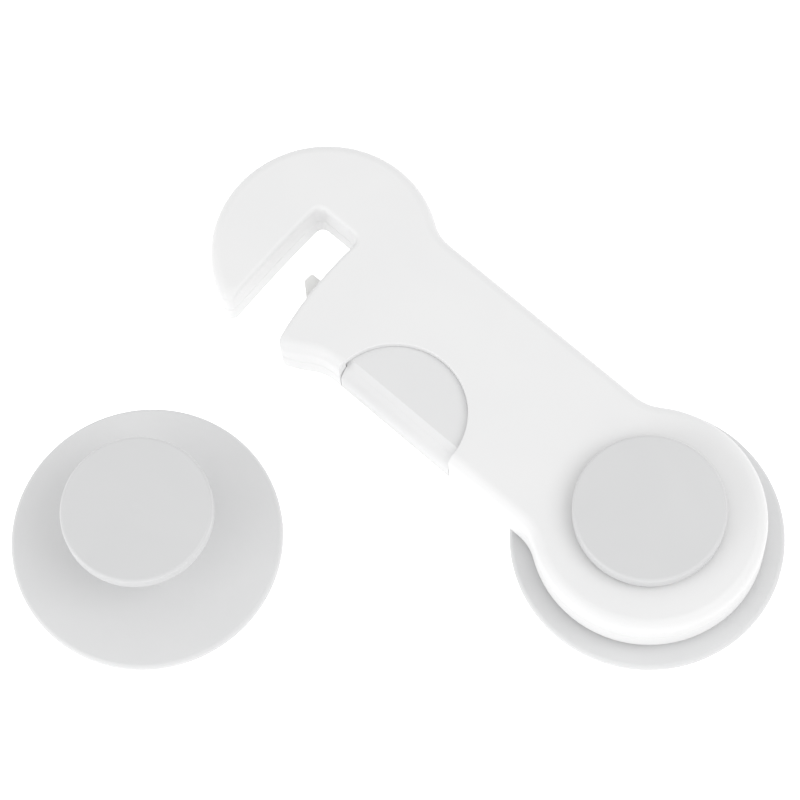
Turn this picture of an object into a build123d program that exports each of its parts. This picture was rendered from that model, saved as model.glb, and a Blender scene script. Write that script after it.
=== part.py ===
from build123d import *
import os
from math import sqrt

# Stick-on safety latch for a gate, drawer or door.
# A pivot disc carries a wrench-shaped arm, and a catch disc carries the neck that the arm's jaw takes.
# Frame: origin on the pivot axis at the adhesive face, +Z up, +X along the arm, +Y on the jaw's mouth side.

# ------------------------------------------------------------------ driving sizes, mm
# Discs, the same on both sides
DISC_R = 20.0
PAD_R = 19.5
PAD_TOP = 0.9
DISC_TOP = 2.4
DISC_EDGE_R = 0.8
KNOB_R = 11.0
KNOB_UNDER = 12.2
KNOB_TOP = 14.8
KNOB_EDGE_R = 0.5
KNOB_UNDER_EDGE_R = 0.4
GATE_MARK_R = 0.9
GATE_MARK_T = 0.05
PIVOT_STEM_R = 4.0
CATCH_NECK_R = 3.0
SPIGOT_R = 2.3
SPIGOT_TOP = 3.4
CATCH_X = 54.55
CATCH_Y = 48.52

# Disc screws, countersunk, from below
DISC_SCREW_R = 1.25
DISC_SCREW_HEAD_R = 2.6
DISC_SCREW_HEAD_H = 1.1
DISC_SCREW_TOP = 10.0
DISC_SCREW_ROOM = 0.4
DISC_SCREW_DRIVE = (1.2, 0.8)

# Pivot bush and washers
BUSH_R = 5.0
WASHER_IN_R = 5.15
LOWER_WASHER_R = 9.0
UPPER_WASHER_R = 8.0

# Arm outline
ARM_BOTTOM = 3.2
ARM_TOP = 11.6
PARTING_Z = 7.2
PIVOT_END_R = 17.0
SHANK_HALF = 12.8
HEAD_X = 63.5
HEAD_R = 16.8
BLEND_R = 7.0
ARM_EDGE_R = 0.8
TIP_R = 1.2
WALL = 1.4
FLOOR_TOP = 4.4
SKIN_UNDER = 10.6
BORE_R = 5.08
COLLAR_R = 7.6
RIB_T = 1.0

# Jaw slot: its walls are arcs about the pivot axis, and the hook's wall flares at the mouth
SLOT_IN_R = 60.3
SLOT_OUT_R = 68.5
SLOT_END_Y = -4.3
SLOT_CORNER_R = 1.3
SLOT_MID_Y = 6.0
MOUTH_X = 67.4
MOUTH_Y = 20.0

# Release button and its window
WINDOW_X = 37.8
WINDOW_Y = 12.6
WINDOW_R = 10.75
WINDOW_SILL = 4.6
BUTTON_TOP = 10.5
BUTTON_UNDER = 8.3
BUTTON_BACK_Y = 1.0
BUTTON_PAD_Y = 11.25
BUTTON_FACE_Y = SHANK_HALF
BUTTON_FACE_TOP = 9.6
BUTTON_NOSE_R = 3.6
BUTTON_NOSE_Z = 6.55
BUTTON_HALF = 11.65
BUTTON_EDGE_R = 0.9
FACE_T = 1.8
PRESS = 2.7
GUIDE_BACK_Y = -2.0
TAB_W = 2.9
TAB_INSET = 0.35
TAB_T = 1.2
TAB_BOTTOM = 5.0

# Latch bolt, its cam slot at 45 degrees, and the pin that runs in the slot
BOLT_Y0 = 3.4
BOLT_Y1 = 7.9
BOLT_BOTTOM = 4.6
BOLT_TOP = 7.9
BOLT_REAR_X = 32.9
CAM_PLATE_X = 41.5
CAM_PLATE_Y0 = 1.2
TOOTH_TIP_X = 63.0
TOOTH_TIP_Y = 5.3
TOOTH_ROOT_X = 59.7
TOOTH_CORNER_R = 0.3
PORT_DEPTH = 3.0
BOLT_PRESSER_X = (52.0, 56.0)
BOLT_RAIL_X = (50.0, 58.5)
PIN_X = 35.2
PIN_Y = 6.0
PIN_R = 1.0
PIN_PLAY = 0.05
PIN_BOTTOM = 4.9
PIN_TOP = 9.8
PIN_CHAMFER = 0.2
GAP = 0.1

# Coil springs
SPRING_Z = 6.3
SPRING_R = 1.3
WIRE_R = 0.2
SPRING_PITCH = 1.15
PEG_R = 0.8
PEG_L = 1.6
BOLT_SPRING_Y = 5.0
BOLT_SPRING_SEAT_X = 24.0
BUTTON_SPRING_SEAT_Y = -6.0
SEAT_T = 1.3
SEAT_HALF = 2.0

# Case screws: from below, in counterbored bosses
CASE_SCREWS = [(17.0, 8.0), (19.0, -7.6), (52.4, -5.8), (74.4, -0.5)]
CASE_SCREW_R = 1.0
CASE_SCREW_HEAD_R = 1.9
CASE_SCREW_HEAD_Z = (3.35, 4.45)
CASE_SCREW_TOP = 9.6
CASE_SCREW_EDGE_R = 0.4
CASE_SCREW_DRIVE = (0.9, 0.6)
BOSS_R = 3.0
TOP_BOSS_R = 2.4
PILOT_TOP = 9.9

UPRIGHT = (Align.CENTER, Align.CENTER, Align.MIN)
CORNER = (Align.MIN, Align.MIN, Align.MIN)


# ------------------------------------------------------------------ plain shapes
def rod(x, y, radius, z0, z1):
    """Upright cylinder between two heights."""
    return Pos(x, y, z0) * Cylinder(radius, z1 - z0, align=UPRIGHT)


def block(x0, x1, y0, y1, z0, z1):
    """Box between two corners."""
    return Pos(x0, y0, z0) * Box(x1 - x0, y1 - y0, z1 - z0, align=CORNER)


def ring(x, y, inner, outer, z0, z1):
    """Upright tube between two heights."""
    return rod(x, y, outer, z0, z1) - rod(x, y, inner, z0, z1)


def edges_at(solid, z):
    """Edges of a solid that lie flat at one height."""
    return solid.edges().filter_by_position(Axis.Z, z - 0.001, z + 0.001)


def cross_recess(x, y, z, drive):
    """Cross-shaped drive, cut upwards into a screw head whose face is at z."""
    half, depth = drive
    bar = block(x - half, x + half, y - half / 4, y + half / 4, z, z + depth)
    return bar + block(x - half / 4, x + half / 4, y - half, y + half, z, z + depth)


def coil(length):
    """Compression spring along +Z from the origin, with one wire sweep."""
    path = Helix(SPRING_PITCH, length - 2 * WIRE_R, SPRING_R)
    start = Plane(origin=path @ 0, z_dir=path % 0)
    return Pos(0, 0, WIRE_R) * sweep(start * Circle(WIRE_R), path=path, is_frenet=True)


# ------------------------------------------------------------------ discs, knobs and their screws
def adhesive_pad(x, y):
    """Round foam pad, sticky on both faces."""
    return rod(x, y, PAD_R, 0, PAD_TOP)


def base_disc(x, y):
    """Round plate with a spigot for the knob and a countersunk screw hole."""
    disc = rod(x, y, DISC_R, PAD_TOP, DISC_TOP)
    disc = fillet(edges_at(disc, DISC_TOP), DISC_EDGE_R)
    disc += rod(x, y, SPIGOT_R, DISC_TOP, SPIGOT_TOP)
    disc -= rod(x, y, DISC_SCREW_R + GAP / 2, PAD_TOP, SPIGOT_TOP)
    sink = Cone(DISC_SCREW_HEAD_R + GAP, DISC_SCREW_R + GAP / 2, DISC_SCREW_HEAD_H + GAP, align=UPRIGHT)
    return disc - Pos(x, y, PAD_TOP) * sink


def disc_screw(x, y):
    """Countersunk screw that holds a knob's stem down on its disc."""
    head = Cone(DISC_SCREW_HEAD_R, DISC_SCREW_R, DISC_SCREW_HEAD_H, align=UPRIGHT)
    screw = Pos(x, y, PAD_TOP) * head + rod(x, y, DISC_SCREW_R, PAD_TOP, DISC_SCREW_TOP)
    return screw - cross_recess(x, y, PAD_TOP, DISC_SCREW_DRIVE)


def knob(x, y, stem_radius, gate_mark):
    """Flat round knob with its stem, bored from below for the spigot and the screw."""
    cap = rod(x, y, KNOB_R, KNOB_UNDER, KNOB_TOP)
    cap = fillet(edges_at(cap, KNOB_TOP), KNOB_EDGE_R)
    cap = fillet(edges_at(cap, KNOB_UNDER), KNOB_UNDER_EDGE_R)
    body = cap + rod(x, y, stem_radius, DISC_TOP, KNOB_UNDER)
    body -= rod(x, y, SPIGOT_R + PIN_PLAY, DISC_TOP, SPIGOT_TOP + PIN_PLAY)
    body -= rod(x, y, DISC_SCREW_R, DISC_TOP, DISC_SCREW_TOP + DISC_SCREW_ROOM)
    if gate_mark:
        body -= rod(x, y, GATE_MARK_R, KNOB_TOP - GATE_MARK_T, KNOB_TOP)
    return body


# ------------------------------------------------------------------ arm outline
def slot_face(inset):
    """Plan of the jaw slot, grown outwards by inset, open past the mouth."""
    inner = SLOT_IN_R - inset
    outer = SLOT_OUT_R + inset
    end = SLOT_END_Y - inset
    end_in = (sqrt(inner**2 - end**2), end)
    end_out = (sqrt(outer**2 - end**2), end)
    mouth_in = (sqrt(inner**2 - MOUTH_Y**2), MOUTH_Y)
    mouth_out = (MOUTH_X + inset, MOUTH_Y)
    body_wall = ThreePointArc(end_in, (inner, 0), mouth_in)
    hook_wall = ThreePointArc(mouth_out, (sqrt(outer**2 - SLOT_MID_Y**2), SLOT_MID_Y), end_out)
    face = make_face([body_wall, Line(mouth_in, mouth_out), hook_wall, Line(end_out, end_in)])
    corners = [v for v in face.vertices() if abs(v.Y - end) < 0.01]
    return fillet(corners, SLOT_CORNER_R + inset)


def arm_face(inset):
    """Plan of the arm with its jaw slot, moved inwards by inset."""
    half = SHANK_HALF - inset
    face = Circle(PIVOT_END_R - inset) + Pos(HEAD_X, 0) * Circle(HEAD_R - inset)
    face += Pos(HEAD_X / 2, 0) * Rectangle(HEAD_X, 2 * half)
    corners = [v for v in face.vertices() if abs(abs(v.Y) - half) < 0.01]
    face = fillet(corners, BLEND_R + inset)
    face -= slot_face(inset)
    if inset < TIP_R:
        tips = [v for v in face.vertices() if v.Y > HEAD_R - 3 and v.X > HEAD_X - HEAD_R / 2]
        face = fillet(tips, TIP_R - inset)
    return face


def arm_slab(inset, z0, z1):
    """The arm's plan, moved inwards by inset, raised between two heights."""
    return Pos(0, 0, z0) * extrude(arm_face(inset), z1 - z0)


def button_side_cut():
    """Opening in the shank's side wall for the button's finger face."""
    return block(WINDOW_X - WINDOW_R, WINDOW_X + WINDOW_R, SHANK_HALF - WALL - 1, SHANK_HALF + 1,
                 WINDOW_SILL, ARM_TOP)


def bolt_port():
    """Opening in the slot's body-side wall for the bolt's tooth."""
    return block(TOOTH_ROOT_X - PORT_DEPTH, SLOT_IN_R + 1, BOLT_Y0 - GAP, BOLT_Y1 + GAP,
                 FLOOR_TOP, BOLT_TOP + GAP)


# ------------------------------------------------------------------ arm shells
def arm_top_shell():
    """Upper half of the arm: skin, walls, bosses and the button's guides."""
    shell = arm_slab(0, PARTING_Z, ARM_TOP)
    shell = fillet(edges_at(shell, ARM_TOP), ARM_EDGE_R)
    shell -= arm_slab(WALL, PARTING_Z, SKIN_UNDER)
    shell -= rod(WINDOW_X, WINDOW_Y, WINDOW_R, SKIN_UNDER, ARM_TOP)
    shell -= button_side_cut()
    shell += rod(0, 0, COLLAR_R, PARTING_Z, SKIN_UNDER)
    shell -= rod(0, 0, BORE_R, PARTING_Z, ARM_TOP)
    for x, y in CASE_SCREWS:
        shell += ring(x, y, CASE_SCREW_R, TOP_BOSS_R, PARTING_Z, PILOT_TOP)
        shell += rod(x, y, TOP_BOSS_R, PILOT_TOP, SKIN_UNDER)
    for side in (-1, 1):
        near = WINDOW_X + side * (BUTTON_HALF + GAP)
        far = near + side * RIB_T
        shell += block(min(near, far), max(near, far), GUIDE_BACK_Y, SHANK_HALF - WALL,
                       BUTTON_UNDER, SKIN_UNDER)
    shell += block(*BOLT_PRESSER_X, BOLT_Y0, BOLT_Y1, BOLT_TOP + GAP, SKIN_UNDER)
    return shell - bolt_port()


def spring_peg(length):
    """Locating peg for a spring's end, along +Z."""
    return Cylinder(PEG_R, length, align=UPRIGHT)


def arm_bottom_shell():
    """Lower half of the arm: floor, walls, bosses, the bolt's guides and the spring seats."""
    shell = arm_slab(0, ARM_BOTTOM, PARTING_Z)
    shell = fillet(edges_at(shell, ARM_BOTTOM), ARM_EDGE_R)
    shell -= arm_slab(WALL, FLOOR_TOP, PARTING_Z)
    shell -= button_side_cut()
    shell += rod(0, 0, COLLAR_R, FLOOR_TOP, PARTING_Z)
    shell -= rod(0, 0, BORE_R, ARM_BOTTOM, PARTING_Z)
    for x, y in CASE_SCREWS:
        shell += rod(x, y, BOSS_R, FLOOR_TOP, PARTING_Z)
        shell -= rod(x, y, CASE_SCREW_R + GAP, ARM_BOTTOM, PARTING_Z)
        shell -= rod(x, y, CASE_SCREW_HEAD_R + 2 * GAP, ARM_BOTTOM, CASE_SCREW_HEAD_Z[1])
    for y0 in (BOLT_Y0 - GAP - RIB_T, BOLT_Y1 + GAP):
        shell += block(*BOLT_RAIL_X, y0, y0 + RIB_T, FLOOR_TOP, PARTING_Z)
    shell += block(BOLT_SPRING_SEAT_X - SEAT_T, BOLT_SPRING_SEAT_X,
                   BOLT_SPRING_Y - SEAT_HALF, BOLT_SPRING_Y + SEAT_HALF, FLOOR_TOP, PARTING_Z)
    shell += Pos(BOLT_SPRING_SEAT_X, BOLT_SPRING_Y, SPRING_Z) * Rot(0, 90, 0) * spring_peg(PEG_L)
    for x in button_spring_xs():
        shell += block(x - SEAT_HALF, x + SEAT_HALF, BUTTON_SPRING_SEAT_Y - SEAT_T, BUTTON_SPRING_SEAT_Y,
                       FLOOR_TOP, PARTING_Z)
        shell += Pos(x, BUTTON_SPRING_SEAT_Y, SPRING_Z) * Rot(-90, 0, 0) * spring_peg(PEG_L)
    return shell - bolt_port()


def arm_screws():
    """Pan-head screws that close the two shells, from below."""
    z0, z1 = CASE_SCREW_HEAD_Z
    screws = []
    for x, y in CASE_SCREWS:
        head = rod(x, y, CASE_SCREW_HEAD_R, z0, z1)
        head = fillet(edges_at(head, z0), CASE_SCREW_EDGE_R)
        screw = head + rod(x, y, CASE_SCREW_R, z1, CASE_SCREW_TOP)
        screws.append(screw - cross_recess(x, y, z0, CASE_SCREW_DRIVE))
    return Compound(children=screws)


# ------------------------------------------------------------------ button, bolt and springs
def button_spring_xs():
    """Places of the button's two springs along the arm."""
    inset = BUTTON_HALF - TAB_INSET - TAB_W / 2
    return (WINDOW_X - inset, WINDOW_X + inset)


def release_button():
    """D-shaped pad under the skin, its finger face, and two tabs for the springs."""
    left, right = WINDOW_X - BUTTON_HALF, WINDOW_X + BUTTON_HALF
    body = block(left, right, BUTTON_BACK_Y, BUTTON_PAD_Y, BUTTON_UNDER, BUTTON_TOP)
    front = edges_at(body, BUTTON_TOP).sort_by(Axis.Y)[-1]
    body = fillet(front, BUTTON_EDGE_R)
    side = WINDOW_R - 2 * GAP
    face = (WINDOW_X - side, WINDOW_X + side, BUTTON_FACE_Y - FACE_T, BUTTON_FACE_Y)
    nose_axis = Pos(WINDOW_X, BUTTON_FACE_Y - BUTTON_NOSE_R, BUTTON_NOSE_Z) * Rot(0, 90, 0)
    body += block(*face, WINDOW_SILL + 2 * GAP, BUTTON_NOSE_Z)
    body += block(*face, BUTTON_NOSE_Z, BUTTON_FACE_TOP) & nose_axis * Cylinder(BUTTON_NOSE_R, 2 * side)
    for x in button_spring_xs():
        body += block(x - TAB_W / 2, x + TAB_W / 2, BUTTON_BACK_Y, BUTTON_BACK_Y + TAB_T,
                      TAB_BOTTOM, BUTTON_UNDER)
    return body - rod(PIN_X, PIN_Y, PIN_R, BUTTON_UNDER, PIN_TOP)


def button_cam_pin():
    """Steel pin pressed up into the button, running in the bolt's slanted slot."""
    pin = rod(PIN_X, PIN_Y, PIN_R, PIN_BOTTOM, PIN_TOP)
    return chamfer(edges_at(pin, PIN_BOTTOM), PIN_CHAMFER)


def button_return_springs():
    """Two springs behind the button's tabs."""
    length = BUTTON_BACK_Y - BUTTON_SPRING_SEAT_Y
    lay = Rot(-90, 0, 0) * coil(length)
    return Compound(children=[Pos(x, BUTTON_SPRING_SEAT_Y, SPRING_Z) * lay for x in button_spring_xs()])


def latch_bolt():
    """Flat bolt with a ramped tooth at the slot end and the slanted cam slot at the other."""
    outline = [
        (BOLT_REAR_X, CAM_PLATE_Y0),
        (CAM_PLATE_X, CAM_PLATE_Y0),
        (CAM_PLATE_X, BOLT_Y0),
        (TOOTH_TIP_X, BOLT_Y0),
        (TOOTH_TIP_X, TOOTH_TIP_Y),
        (TOOTH_ROOT_X, BOLT_Y1),
        (BOLT_REAR_X, BOLT_Y1),
    ]
    plan = make_face(Polyline(outline, close=True))
    tip = [v for v in plan.vertices() if v.X > TOOTH_TIP_X - 0.01]
    plan = fillet(tip, TOOTH_CORNER_R)
    reach = PRESS + PIN_PLAY
    half = PIN_R + PIN_PLAY
    across = half / sqrt(2)
    start = (PIN_X - PIN_PLAY, PIN_Y + PIN_PLAY)
    stop = (PIN_X + reach, PIN_Y - reach)
    band = [
        (start[0] - across, start[1] - across),
        (stop[0] - across, stop[1] - across),
        (stop[0] + across, stop[1] + across),
        (start[0] + across, start[1] + across),
    ]
    cam_slot = make_face(Polyline(band, close=True)) + Pos(*start) * Circle(half) + Pos(*stop) * Circle(half)
    bolt = Pos(0, 0, BOLT_BOTTOM) * extrude(plan - cam_slot, BOLT_TOP - BOLT_BOTTOM)
    return bolt + Pos(BOLT_REAR_X - PEG_L, BOLT_SPRING_Y, SPRING_Z) * Rot(0, 90, 0) * spring_peg(PEG_L)


def latch_bolt_spring():
    """Spring between the bolt's rear end and its seat in the lower shell."""
    length = BOLT_REAR_X - BOLT_SPRING_SEAT_X
    return Pos(BOLT_SPRING_SEAT_X, BOLT_SPRING_Y, SPRING_Z) * Rot(0, 90, 0) * coil(length)


# ------------------------------------------------------------------ all the pieces
PIECES = {
    "pivot_adhesive_pad": adhesive_pad(0, 0),
    "pivot_base_disc": base_disc(0, 0),
    "pivot_knob": knob(0, 0, PIVOT_STEM_R, False),
    "pivot_screw": disc_screw(0, 0),
    "pivot_bush": ring(0, 0, PIVOT_STEM_R, BUSH_R, DISC_TOP, KNOB_UNDER),
    "pivot_lower_washer": ring(0, 0, WASHER_IN_R, LOWER_WASHER_R, DISC_TOP, ARM_BOTTOM - GAP),
    "pivot_upper_washer": ring(0, 0, WASHER_IN_R, UPPER_WASHER_R, ARM_TOP + GAP, KNOB_UNDER),
    "catch_adhesive_pad": adhesive_pad(CATCH_X, CATCH_Y),
    "catch_base_disc": base_disc(CATCH_X, CATCH_Y),
    "catch_knob": knob(CATCH_X, CATCH_Y, CATCH_NECK_R, True),
    "catch_screw": disc_screw(CATCH_X, CATCH_Y),
    "arm_top_shell": arm_top_shell(),
    "arm_bottom_shell": arm_bottom_shell(),
    "arm_screws": arm_screws(),
    "release_button": release_button(),
    "button_cam_pin": button_cam_pin(),
    "button_return_springs": button_return_springs(),
    "latch_bolt": latch_bolt(),
    "latch_bolt_spring": latch_bolt_spring(),
}

os.makedirs("parts", exist_ok=True)
for name, piece in PIECES.items():
    export_step(piece, f"parts/{name}.step")
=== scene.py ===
"""Looks of a stick-on safety latch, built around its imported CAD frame.

Two round adhesive discs each carry a flat knob. A wrench-shaped arm turns on the first, and its jaw takes
the neck of the second. A D-shaped pad in the arm's side draws a small sprung bolt out of the jaw.
Every piece is in metres, in the frame of the CAD model, and rides on the CAD body that it belongs to.
"""

import logging
from collections.abc import Callable, Sequence
from dataclasses import dataclass, field
from enum import Enum
from math import asin, atan2, cos, hypot, pi, radians, sin, sqrt, tau

import bmesh
import bpy
from mathutils import Matrix, Quaternion, Vector


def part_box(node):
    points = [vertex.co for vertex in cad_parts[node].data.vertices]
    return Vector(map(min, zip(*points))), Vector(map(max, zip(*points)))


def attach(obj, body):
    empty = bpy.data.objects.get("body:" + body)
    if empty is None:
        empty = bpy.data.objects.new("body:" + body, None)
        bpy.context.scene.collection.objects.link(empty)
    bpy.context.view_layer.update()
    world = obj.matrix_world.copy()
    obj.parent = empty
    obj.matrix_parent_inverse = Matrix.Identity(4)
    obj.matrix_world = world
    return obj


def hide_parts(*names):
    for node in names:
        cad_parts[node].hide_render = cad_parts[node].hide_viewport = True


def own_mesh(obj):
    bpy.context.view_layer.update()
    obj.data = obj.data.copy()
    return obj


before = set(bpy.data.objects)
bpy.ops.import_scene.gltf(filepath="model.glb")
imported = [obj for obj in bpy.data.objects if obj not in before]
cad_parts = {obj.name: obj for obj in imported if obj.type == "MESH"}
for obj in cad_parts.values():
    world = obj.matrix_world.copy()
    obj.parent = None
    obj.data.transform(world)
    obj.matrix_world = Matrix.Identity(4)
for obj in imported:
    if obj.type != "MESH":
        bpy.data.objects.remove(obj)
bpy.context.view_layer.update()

MM = 0.001
WELD = 0.002 * MM
CLOSE = 0.01 * MM
log = logging.getLogger("latch")

Point = tuple[float, float]
Ring = list[tuple[float, float, float]]
Colour = tuple[float, float, float]
Feed = float | Colour | bpy.types.NodeSocket


class Body(Enum):
    """The CAD bodies that the pieces ride on."""

    PIVOT = "pivot_base"
    ARM = "arm"
    BUTTON = "button"
    BOLT = "bolt"
    CATCH = "catch"


class Slot(Enum):
    """The record's material slots."""

    ARM = "arm_plastic"
    BUTTON = "button_plastic"
    DISC = "disc_plastic"
    BOLT = "bolt_plastic"
    FOAM = "foam"
    SCREW = "zinc_steel"
    SPRING = "spring_steel"


class Side(Enum):
    """The two adhesive discs, as their CAD nodes are named."""

    PIVOT = "pivot"
    CATCH = "catch"


class Work(Enum):
    """What a tool does to the piece that it is used on."""

    CUT = "DIFFERENCE"
    JOIN = "UNION"


# ------------------------------------------------------------------ bench work: shaping meshes by hand
def pick(piece: bpy.types.Object) -> None:
    """Selects one object alone and makes it active.

    Args:
        piece: The object that the next operators act on.
    """
    if bpy.context.mode != "OBJECT":
        bpy.ops.object.mode_set(mode="OBJECT")
    bpy.ops.object.select_all(action="DESELECT")
    piece.select_set(True)
    bpy.context.view_layer.objects.active = piece


def apply_modifier(piece: bpy.types.Object, kind: str, **settings: object) -> None:
    """Adds one modifier to a piece and applies it.

    Args:
        piece: The object to change.
        kind: Blender's name of the modifier type.
        settings: The modifier's own settings.
    """
    pick(piece)
    modifier = piece.modifiers.new(kind.lower(), kind)
    for name, value in settings.items():
        setattr(modifier, name, value)
    bpy.ops.object.modifier_apply(modifier=modifier.name)


def loft(name: str, rings: Sequence[Ring]) -> bpy.types.Object:
    """Makes a closed solid by drawing a filled circle out through a row of rings.

    Args:
        name: The new object's name.
        rings: Outlines with the same number of points, each a list of x, y, z.

    Returns:
        The new object, with flat caps on its first and last rings.
    """
    bpy.ops.object.select_all(action="DESELECT")
    bpy.ops.mesh.primitive_circle_add(vertices=len(rings[0]), radius=MM, fill_type="NGON")
    piece = bpy.context.active_object
    piece.name = name
    bpy.ops.object.mode_set(mode="EDIT")
    bm = bmesh.from_edit_mesh(piece.data)
    order = bm.verts.layers.int.new("order")
    for i, loop in enumerate(next(iter(bm.faces)).loops):
        loop.vert[order] = i
        loop.vert.co = rings[0][i]
    for ring in rings[1:]:
        bmesh.update_edit_mesh(piece.data)
        bpy.ops.mesh.extrude_region_move(TRANSFORM_OT_translate={"value": (0, 0, 0)})
        bm = bmesh.from_edit_mesh(piece.data)
        order = bm.verts.layers.int["order"]
        for vert in bm.verts:
            if vert.select:
                vert.co = ring[vert[order]]
    bm.verts.layers.int.remove(order)
    bpy.ops.mesh.select_all(action="SELECT")
    bpy.ops.mesh.normals_make_consistent(inside=False)
    bpy.ops.object.mode_set(mode="OBJECT")
    return piece


def circle(centre: Point, radius: float, z: float, steps: int) -> Ring:
    """One level ring.

    Args:
        centre: The ring's centre, x and y.
        radius: The ring's radius.
        z: The ring's height.
        steps: How many points it has.

    Returns:
        The ring's points, anticlockwise.
    """
    turns = [tau * i / steps for i in range(steps)]
    return [(centre[0] + radius * cos(t), centre[1] + radius * sin(t), z) for t in turns]


def turned(name: str, centre: Point, profile: Sequence[Point], steps: int = 128) -> bpy.types.Object:
    """Makes a round piece, as on a lathe.

    Args:
        name: The new object's name.
        centre: The axis, x and y.
        profile: Radius and height of each ring, from one cap to the other.
        steps: How many points each ring has.

    Returns:
        The new closed object.
    """
    return loft(name, [circle(centre, radius, z, steps) for radius, z in profile])


def quarter(radius: float, z: float, edge: float, steps: int, up: bool) -> list[Point]:
    """Profile of a rounded rim, from the side wall to the flat.

    Args:
        radius: Radius of the side wall.
        z: Height of the flat.
        edge: Radius of the rounding.
        steps: How many stretches it has.
        up: True for an upper rim, False for a lower one.

    Returns:
        Radius and height of each ring.
    """
    side = 1 if up else -1
    turns = [pi / 2 * i / steps for i in range(steps + 1)]
    return [(radius - edge * (1 - cos(t)), z - side * edge * (1 - sin(t))) for t in turns]


def box_blank(name: str, low: Sequence[float], high: Sequence[float]) -> bpy.types.Object:
    """A rectangular blank between two corners, for cutting or joining.

    Args:
        name: The new object's name.
        low: Its lowest corner.
        high: Its highest corner.

    Returns:
        The new object, at the origin, with its place in its mesh.
    """
    size = [b - a for a, b in zip(low, high)]
    middle = [(a + b) / 2 for a, b in zip(low, high)]
    bpy.ops.object.select_all(action="DESELECT")
    bpy.ops.mesh.primitive_cube_add(size=1, location=middle)
    piece = bpy.context.active_object
    piece.name = name
    piece.scale = size
    bpy.ops.object.transform_apply(location=True, rotation=True, scale=True)
    return piece


def round_edges(
    piece: bpy.types.Object, chosen: Callable[[Vector, Vector], bool], offset: float, segments: int = 3
) -> None:
    """Rounds the edges that a test picks.

    Args:
        piece: The object to change.
        chosen: A test of an edge's two end points.
        offset: How wide the rounding is.
        segments: How many strips it has.
    """
    pick(piece)
    bpy.ops.object.mode_set(mode="EDIT")
    bpy.ops.mesh.select_mode(type="EDGE")
    bpy.ops.mesh.select_all(action="DESELECT")
    bm = bmesh.from_edit_mesh(piece.data)
    for edge in bm.edges:
        if chosen(edge.verts[0].co, edge.verts[1].co):
            edge.select_set(True)
    bm.select_flush_mode()
    bmesh.update_edit_mesh(piece.data)
    bpy.ops.mesh.bevel(offset=offset, segments=segments, profile=0.5, clamp_overlap=True)
    bpy.ops.mesh.select_mode(type="VERT")
    bpy.ops.object.mode_set(mode="OBJECT")


def shape(piece: bpy.types.Object, work: Work, *tools: bpy.types.Object) -> None:
    """Cuts tools out of a piece, or joins them to it, and throws the tools away.

    Args:
        piece: The object to change.
        work: Whether to cut or to join.
        tools: Closed objects.
    """
    for tool in tools:
        apply_modifier(piece, "BOOLEAN", operation=work.value, solver="EXACT", object=tool)
        bpy.data.objects.remove(tool)


def copy_of(pattern: bpy.types.Object, name: str) -> bpy.types.Object:
    """Copies a finished pattern, which stays at the origin, with a mesh of its own.

    Args:
        pattern: The object to copy.
        name: The copy's name.

    Returns:
        The copy, to be moved to its place.
    """
    pick(pattern)
    bpy.ops.object.duplicate(linked=False)
    copy = bpy.context.active_object
    copy.name = name
    return copy


def settle(piece: bpy.types.Object, angle: float = 32) -> None:
    """Cleans a finished mesh and gives it smooth shading with flat faces kept flat.

    Args:
        piece: The object to finish.
        angle: Edges sharper than this, in degrees, stay sharp.
    """
    pick(piece)
    bpy.ops.object.mode_set(mode="EDIT")
    bpy.ops.mesh.select_all(action="SELECT")
    bpy.ops.mesh.remove_doubles(threshold=WELD)
    bpy.ops.mesh.dissolve_degenerate(threshold=WELD)
    bpy.ops.object.mode_set(mode="OBJECT")
    bpy.ops.object.shade_smooth_by_angle(angle=radians(angle))
    apply_modifier(piece, "WEIGHTED_NORMAL", keep_sharp=True, weight=60)


def mount(
    piece: bpy.types.Object, body: Body, slot: Slot, material: bpy.types.Material, *nodes: str
) -> None:
    """Gives a finished piece its body, its finish and the CAD nodes that it stands for.

    Args:
        piece: The finished object.
        body: The CAD body that it rides on.
        slot: The record's material slot; not used.
        material: Its material.
        nodes: The CAD nodes that it replaces.
    """
    piece.data.materials.clear()
    piece.data.materials.append(material)
    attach(piece, body.value)
    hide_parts(*nodes)
    log.info("%s rides on %s, %d faces", piece.name, body.value, len(piece.data.polygons))


# ------------------------------------------------------------------ shared shader effects
def feed(tree: bpy.types.NodeTree, socket: bpy.types.NodeSocket, value: Feed) -> None:
    """Sets an input to a value, or links another node's output to it.

    Args:
        tree: The node tree.
        socket: The input.
        value: The value or the output.
    """
    if isinstance(value, bpy.types.NodeSocket):
        tree.links.new(value, socket)
    else:
        socket.default_value = value


def add_node(tree: bpy.types.NodeTree, kind: str, **inputs: Feed) -> bpy.types.Node:
    """Adds one shader node and feeds its inputs.

    Args:
        tree: The node tree.
        kind: The node's type, without its ShaderNode prefix.
        inputs: Values or outputs for its inputs, with an underscore for a space.

    Returns:
        The new node.
    """
    node = tree.nodes.new("ShaderNode" + kind)
    for key, value in inputs.items():
        feed(tree, node.inputs[key.replace("_", " ")], value)
    return node


def add_sum(
    tree: bpy.types.NodeTree, operation: str, *terms: Feed, kind: str = "Math"
) -> bpy.types.NodeSocket:
    """Adds one arithmetic node.

    Args:
        tree: The node tree.
        operation: What it does with its inputs.
        terms: Values or outputs for its inputs, in their order.
        kind: Math for numbers, VectorMath for vectors.

    Returns:
        The node's output.
    """
    node = add_node(tree, kind)
    node.operation = operation
    for socket, term in zip(node.inputs, terms):
        feed(tree, socket, term)
    return node.outputs[0]


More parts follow.
